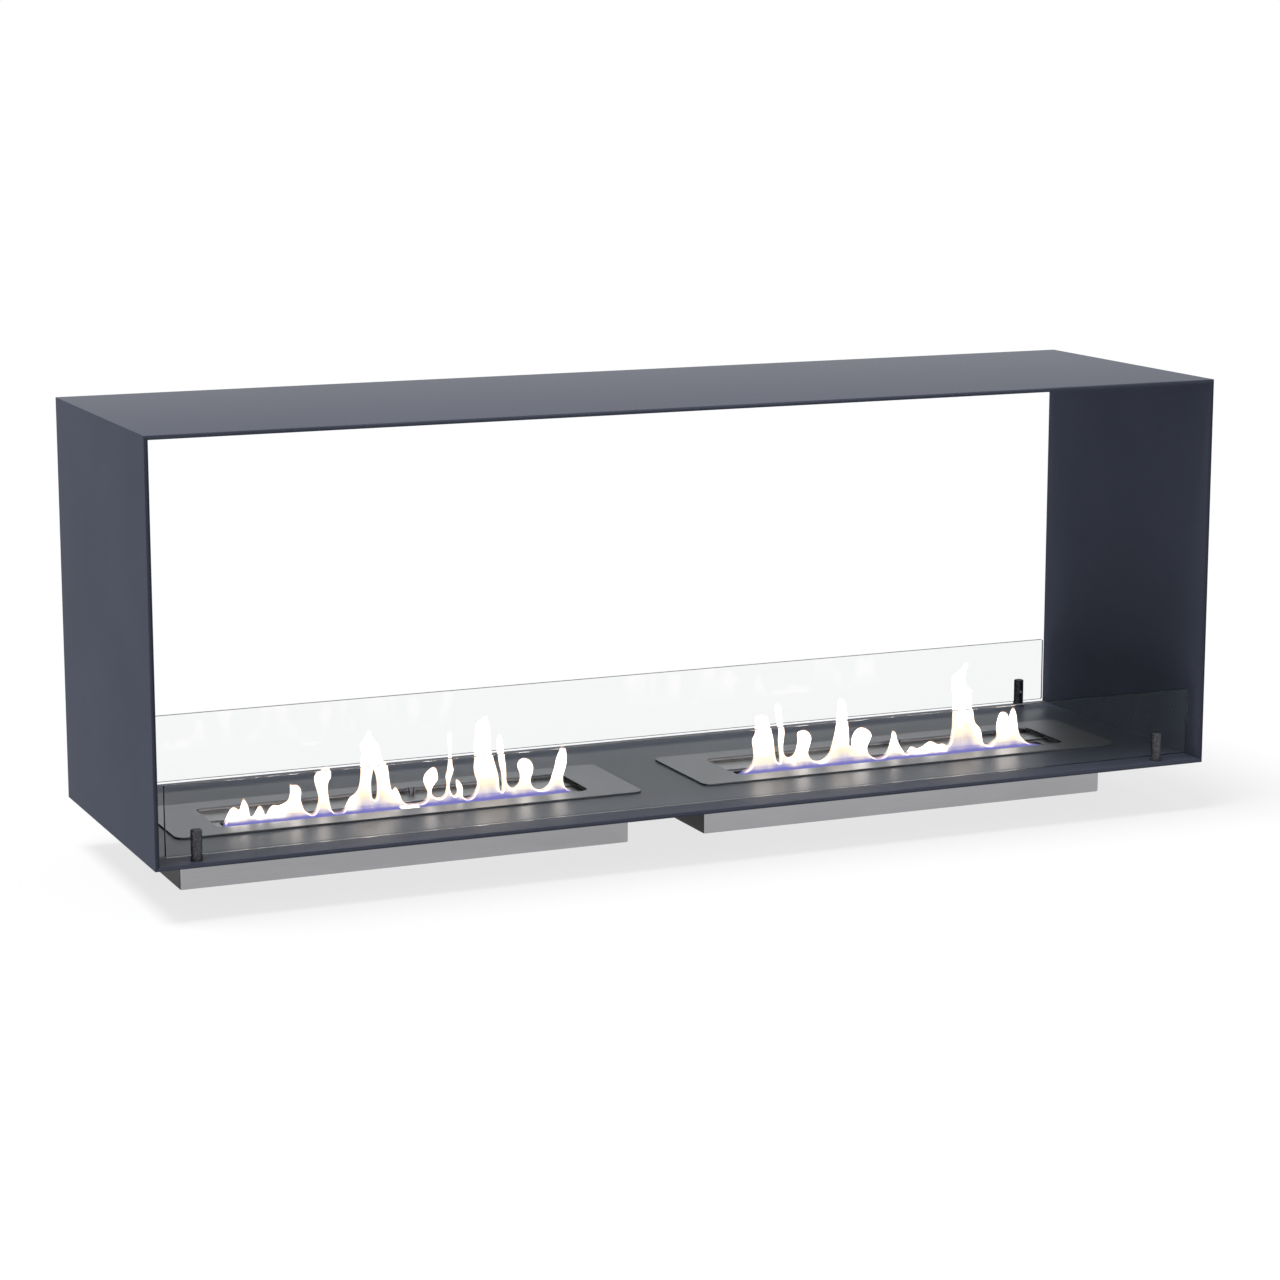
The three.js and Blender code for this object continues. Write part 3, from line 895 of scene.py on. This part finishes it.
class FIREPLACE_OT_wool(bpy.types.Operator):
    """Lays an uneven block of ceramic wool in each fuel tank"""

    bl_idname = "fireplace.wool"
    bl_label = "Add the ceramic wool"

    # The block: its mesh, its edges, and the noises that sink its faces
    cell = 6 * MM
    rounding = 5 * MM
    broad_scale = 45
    fine_scale = 150
    broad_sink = 0.5
    fine_sink = 0.25
    mean_sink = 0.5
    # The look
    bent_scale = 60
    fibre_scale = (350, 1400, 900)
    clump_scale = 130
    soot_scale = 28
    soot_range = (0.5, 0.75)
    soot_share = 0.5
    soot_shade = 0.35
    clean_shades = (0.8, 1.15)
    shares = (0.5, 0.35, 0.15)
    relief = (0.5 * MM, 0.8)

    def execute(self, context):
        wool = settings(context).wool
        material = self.material(wool)
        for side in SIDES:
            node = f"{side}_ceramic_wool"
            mesh = self.block(node, wool.unevenness)
            piece = new_piece(f"{side}_wool_block", mesh, material, "casing")
            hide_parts(node)
        return {"FINISHED"}

    def material(self, wool):
        finish = Finish("Ceramic wool", Roughness=0.95, Specular_IOR_Level=0.2)
        finish.set(Sheen_Weight=0.3, Sheen_Roughness=0.6)
        place = finish.place()
        bent = finish.grain(place, self.bent_scale)
        fibre = finish.grain(place, self.fibre_scale, detail=4, roughness=0.7)
        clump = finish.grain(place, self.clump_scale, detail=3)
        soot = finish.grain(place, self.soot_scale, detail=4).rise(*self.soot_range)
        clean = finish.shades(fibre, wool.colour, *self.clean_shades)
        burnt = shade(wool.colour, self.soot_shade)
        height = mixture((fibre, clump, bent), self.shares)
        finish.set(
            Base_Color=finish.blend(soot * self.soot_share, clean, burnt),
            Normal=finish.bump(height, *self.relief),
        )
        return finish.material

    def block(self, node, unevenness):
        """A closed block just inside the node's box, with round edges and an uneven top."""
        low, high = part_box(node)
        middle = (low + high) / 2
        half = (high - low) / 2
        build = bmesh.new()
        bmesh.ops.create_cube(build, size=2)
        for axis, size in enumerate(half):
            self.divide(build, axis, max(2, round(2 * size / self.cell)))
        for vert in build.verts:
            place = Vector([vert.co[axis] * half[axis] for axis in range(3)])
            vert.co = middle + self.weathered(place, half, unevenness)
        mesh = bpy.data.meshes.new("Wool block")
        build.to_mesh(mesh)
        build.free()
        return mesh

    def divide(self, build, axis, count):
        """Cuts the cube from -1 to 1 into so many equal layers along an axis."""
        normal = Vector((0, 0, 0))
        normal[axis] = 1
        for step in range(1, count):
            point = normal * (2 * step / count - 1)
            parts = build.verts[:] + build.edges[:] + build.faces[:]
            bmesh.ops.bisect_plane(build, geom=parts, plane_co=point, plane_no=normal)

    def weathered(self, place, half, unevenness):
        """Where a point on the faces goes, once the edges are round and the faces sunk."""
        radius = self.rounding
        core = Vector(
            [max(radius - size, min(size - radius, value)) for value, size in zip(place, half)]
        )
        away = place - core
        if away.length > 0:
            away *= radius / max(away.length, radius)
        broad = noise.noise(place * self.broad_scale) * self.broad_sink
        fine = noise.noise(place * self.fine_scale) * self.fine_sink
        outward = away.normalized() if away.length else Vector((0, 0, 1))
        return core + away - outward * unevenness * max(0, broad + fine + self.mean_sink)


def sides_of(loop):
    """Each entry of a closed loop with the next one."""
    return zip(loop, loop[1:] + loop[:1])


def within(point, loop):
    """Whether a point lies in a loop, by counting the sides that a level line cuts."""
    hit = False
    for a, b in sides_of(loop):
        if (a.y > point.y) != (b.y > point.y):
            if point.x < a.x + (b.x - a.x) * (point.y - a.y) / (b.y - a.y):
                hit = not hit
    return hit


def inside(point, outline, holes):
    return within(point, outline) and not any(within(point, hole) for hole in holes)


def smooth_line(points, step):
    """A smooth line through given points, with a point about every step."""
    points = [Vector(point) for point in points]
    ends = [points[0] * 2 - points[1], *points, points[-1] * 2 - points[-2]]
    line = [points[0]]
    for before, start, end, after in zip(ends, ends[1:], ends[2:], ends[3:]):
        reach = (end - start).length
        count = max(1, round(reach / step))
        into = (end - before).normalized() * reach
        out = (after - start).normalized() * reach
        for index in range(1, count + 1):
            t = index / count
            rest = 1 - t
            line.append(
                start * (rest * rest * (1 + 2 * t))
                + into * (rest * rest * t)
                + end * (t * t * (3 - 2 * t))
                - out * (t * t * rest)
            )
    return line


def distance_to(points, lines):
    """The distance from each point to the nearest of some broken lines."""
    start = np.concatenate([line[:-1] for line in lines])
    along = np.concatenate([line[1:] for line in lines]) - start
    shortest = 1e-12
    length = np.maximum((along**2).sum(1), shortest)
    nearest = np.empty(len(points))
    for index, point in enumerate(np.array(points)):
        share = np.clip(((point - start) * along).sum(1) / length, 0, 1)
        gaps = start + along * share[:, None] - point
        nearest[index] = np.sqrt((gaps**2).sum(1).min())
    return nearest


class FIREPLACE_OT_flames(bpy.types.Operator):
    """Raises the flames over the two slots"""

    bl_idname = "fireplace.flames"
    bl_label = "Add the flames"

    # Lengths are in millimetres. The slot, where the flames stand, and how far they sink
    slot_length = 450
    slot_front = -42
    slot_back = 2
    slot_middle = (slot_front + slot_back) / 2
    base_level = 62.0
    shut_level = 62.3
    shut_share = 0.01
    # The mesh: its spacing at the edge and within, its clearances and its ends
    step = 1.6
    fill_step = 2.2
    clear_share = 0.5
    rim = 0.05
    end_height = 0.6
    merge_reach = 1e-5
    # Asks the triangulation for triangles all over the hull of its points
    hull_triangles = 0
    # How far from its edge a flame swells and flares, and its sway
    swell_reach = 4.5
    flare_reach = 2
    flare_height = 9
    sway = 2.5
    sway_size = (38, 30)
    sway_height = 25
    sway_seed = 50
    skyline_reach = 5
    skyline_window = 9
    # The look. A pair is where a mask rises from nought to one: over heights, depths from
    # the edge, or shares of the skyline's height
    lick_scale = (70, 40, 22)
    clear_heights = (5, 11)
    rim_depths = (1.4, 3)
    rim_heights = (3, 7)
    body_shares = (0.26, 0.6)
    body_lick = 0.4
    cream_shares = (0.04, 0.28)
    cream_lick = 0.3
    veil_heights = (6, 12)
    glow_depths = (0.7, 3.2)
    # A painted glint: a small patch at the base of the left flames that takes the full glow and
    # cover
    glint_spot = -326
    glint_reach = (11 * MM, 13 * MM)
    glint_heights = (2, 3)
    # How much of what is behind them the parts hide, and how deep the edge fades
    bright_cover = 0.86
    base_cover = 0.6
    veil_loss = 0.27
    cream_cover = 0.05
    fade_depth = 2.2
    tip_fade = 1.8
    tip_shares = (0.7, 1)
    fade_range = (-0.1, 1)

    def execute(self, context):
        flames = settings(context).flames
        material = self.material(flames)
        for side, edge, gaps in (
            ("left", LEFT_FLAME_EDGE, [LEFT_FLAME_GAP]),
            ("right", RIGHT_FLAME_EDGE, []),
        ):
            low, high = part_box(f"{side}_slot_deck")
            start = (low.x + high.x) / 2 / MM - self.slot_length / 2
            mesh = self.curtain(edge, gaps, start, flames)
            piece = new_piece(f"{side}_flames", mesh, material, "casing")
            piece.visible_shadow = False
            piece.visible_diffuse = False
            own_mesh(piece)
        return {"FINISHED"}

    def curtain(self, edge, gaps, start, flames):
        """A closed curtain of flame inside a silhouette, swollen within its edge."""
        ends = ((0.0, self.end_height), (self.slot_length, self.end_height))
        top = smooth_line([ends[0], *edge, ends[1]], self.step)
        count = round(self.slot_length / (2 * self.step))
        base = [Vector((self.slot_length * (1 - i / count), 0.0)) for i in range(count + 1)]
        outline = top + base
        holes = [smooth_line([*gap, gap[0]], self.step)[:-1] for gap in gaps]
        lines = [top] + [hole + hole[:1] for hole in holes]
        points, edges = [], []
        for loop in (outline, *holes):
            edges += sides_of(list(range(len(points), len(points) + len(loop))))
            points += loop
        points += self.fill(outline, holes, lines)
        kind = self.hull_triangles
        flat = geometry.delaunay_2d_cdt(points, edges, [], kind, self.merge_reach)
        places, faces = flat[0], flat[2]
        faces = [face for face in faces if self.holds(face, places, outline, holes)]
        depths = distance_to(places, lines)
        return self.inflate(places, faces, depths, self.skyline(top), start, flames)

    def skyline(self, top):
        """The smoothed height of the flames near each place along the slot."""
        along = np.arange(0, self.slot_length + 1, 1.0)
        x, y = np.array(top).T
        near = [np.abs(x - place) <= self.skyline_reach for place in along]
        tallest = [y[mask].max(initial=1) for mask in near]
        window = np.ones(self.skyline_window) / self.skyline_window
        padded = np.pad(tallest, self.skyline_window // 2, mode="edge")
        return along, np.convolve(padded, window, mode="valid")

    def holds(self, face, places, outline, holes):
        """Whether the middle of a face lies inside the silhouette."""
        middle = sum((places[i] for i in face), Vector((0, 0))) / len(face)
        return inside(middle, outline, holes)

    def fill(self, outline, holes, lines):
        """Points on a triangular grid inside the silhouette, clear of its edge."""
        rows = int(max(point.y for point in outline) / self.fill_step)
        columns = int(self.slot_length / self.fill_step)
        grid = [
            Vector((self.fill_step * (column + 0.5 * (row % 2)), self.fill_step * (row + 0.5)))
            for row in range(rows + 1)
            for column in range(columns + 1)
        ]
        grid = [point for point in grid if inside(point, outline, holes)]
        clear = distance_to(grid, lines) > self.clear_share * self.fill_step
        return [point for point, kept in zip(grid, clear) if kept]

    def inflate(self, places, faces, depths, skyline, start, flames):
        """Gives the flat faces a front and a back that meet at the edge, closed at the base."""
        front, back, points, kept = {}, {}, [], []
        for index, (place, depth) in enumerate(zip(places, depths)):
            x = (start + place.x) * MM
            z = (self.base_level + max(0.0, place.y)) * MM
            sway = self.slot_middle + self.lean(place, start)
            swell = self.swell(place, depth, flames)
            front[index] = back[index] = len(points)
            points.append((x, (sway - swell) * MM, z))
            kept.append(depth)
            if depth >= self.rim:
                back[index] = len(points)
                points.append((x, (sway + swell) * MM, z))
                kept.append(depth)
        faces = [face for face in faces if any(front[i] != back[i] for i in face)]
        walls = [[front[i] for i in face] for face in faces]
        walls += [[back[i] for i in reversed(face)] for face in faces]
        sides = dict.fromkeys(side for face in faces for side in sides_of(face))
        for a, b in sides:
            if (b, a) not in sides:
                walls.append(list(dict.fromkeys([front[b], front[a], back[a], back[b]])))
        mesh = bpy.data.meshes.new("Flames")
        mesh.from_pydata(points, [], [wall for wall in walls if len(wall) > 2])
        heights = np.array([z / MM - self.base_level for _, _, z in points])
        tops = np.interp([x / MM - start for x, _, _ in points], *skyline)
        for name, values in (
            ("edge_distance", kept),
            ("flame_height", heights),
            ("height_share", heights / np.maximum(tops, 1)),
        ):
            mesh.attributes.new(name, "FLOAT", "POINT").data.foreach_set("value", values)
        build = bmesh.new()
        build.from_mesh(mesh)
        loose = [vert for vert in build.verts if not vert.link_faces]
        bmesh.ops.delete(build, geom=loose, context="VERTS")
        bmesh.ops.recalc_face_normals(build, faces=build.faces)
        build.to_mesh(mesh)
        build.free()
        return mesh

    def lean(self, place, start):
        """How far a place in the flames leans towards the back, in millimetres."""
        across, up = self.sway_size
        spot = Vector((place.x / across, place.y / up, start / self.sway_seed))
        return self.sway * noise.noise(spot) * min(1, place.y / self.sway_height)

    def swell(self, place, depth, flames):
        """Half the thickness of the flames at a place, in millimetres."""
        body = flames.thickness / MM * (1 - math.exp(-depth / self.swell_reach))
        flare = flames.base_flare / MM * (1 - math.exp(-depth / self.flare_reach))
        return body + flare * math.exp(-place.y / self.flare_height)

    def material(self, flames):
        finish = Finish("Flame", Base_Color=grey(0), Roughness=1.0, Specular_IOR_Level=0.0)
        depth = finish.named("edge_distance")
        height = finish.named("flame_height")
        share = finish.named("height_share")
        place = finish.place()
        lick = finish.grain(place, self.lick_scale) - 0.5
        clear = height.rise(*self.clear_heights)
        rim = (1 - depth.rise(*self.rim_depths)) * height.rise(*self.rim_heights)
        body = (share + lick * self.body_lick).rise(*self.body_shares) * clear
        cream = (share + lick * self.cream_lick).rise(*self.cream_shares) * clear
        veil = height.rise(*self.veil_heights)
        bright = rim.at_least(body)
        core = depth.rise(*self.glow_depths)
        glow = finish.blend(core, flames.edge_colour, flames.hot_colour)
        low = finish.blend(veil, flames.base_colour, flames.veil_colour)
        inner = finish.blend(cream, low, flames.middle_colour)
        # Painted glint near the base of the left flames
        beside = abs(finish.part(place, "X") - self.glint_spot * MM)
        glint = (1 - beside.rise(*self.glint_reach)) * (1 - height.rise(*self.glint_heights))
        thin = self.base_cover - veil * self.veil_loss + cream * self.cream_cover
        cover = (bright * self.bright_cover).at_least(thin).at_least(glint)
        fade = share.rise(*self.tip_shares) * self.tip_fade + self.fade_depth
        finish.set(
            Emission_Color=finish.blend(bright.at_least(glint), inner, glow),
            Emission_Strength=flames.strength,
            Alpha=cover * (depth / fade).rise(*self.fade_range),
        )
        finish.material.cycles.emission_sampling = "NONE"
        return finish.material


OPERATORS = (
    FIREPLACE_OT_stage,
    FIREPLACE_OT_casing,
    FIREPLACE_OT_housings,
    FIREPLACE_OT_plates,
    FIREPLACE_OT_inner_steel,
    FIREPLACE_OT_dampers,
    FIREPLACE_OT_panes,
    FIREPLACE_OT_posts,
    FIREPLACE_OT_fixings,
    FIREPLACE_OT_wool,
    FIREPLACE_OT_flames,
)


class FIREPLACE_PT_panel(bpy.types.Panel):
    """Lists the steps and settings of the fireplace"""

    bl_idname = "FIREPLACE_PT_panel"
    bl_label = "Fireplace"
    bl_space_type = "VIEW_3D"
    bl_region_type = "UI"
    bl_category = "Fireplace"

    def draw(self, context):
        column = self.layout.column(align=True)
        for operator in OPERATORS:
            column.operator(operator.bl_idname)
        for name in FireplaceSettings.__annotations__:
            group = getattr(settings(context), name)
            box = self.layout.box()
            box.label(text=name.capitalize())
            for prop in group.bl_rna.properties:
                if prop.identifier not in ("rna_type", "name"):
                    box.prop(group, prop.identifier)


GROUPS = (
    PaintSettings,
    SteelSettings,
    GlassSettings,
    PostSettings,
    WoolSettings,
    FlameSettings,
    StageSettings,
    FireplaceSettings,
)
CLASSES = (*GROUPS, *OPERATORS, FIREPLACE_PT_panel)


def register():
    for cls in CLASSES:
        bpy.utils.register_class(cls)
    bpy.types.Scene.fireplace = PointerProperty(type=FireplaceSettings)


def unregister():
    del bpy.types.Scene.fireplace
    for cls in reversed(CLASSES):
        bpy.utils.unregister_class(cls)


def main():
    register()
    for operator in OPERATORS:
        getattr(bpy.ops.fireplace, operator.bl_idname.split(".")[1])()
    bpy.context.view_layer.update()


if __name__ == "__main__":
    main()
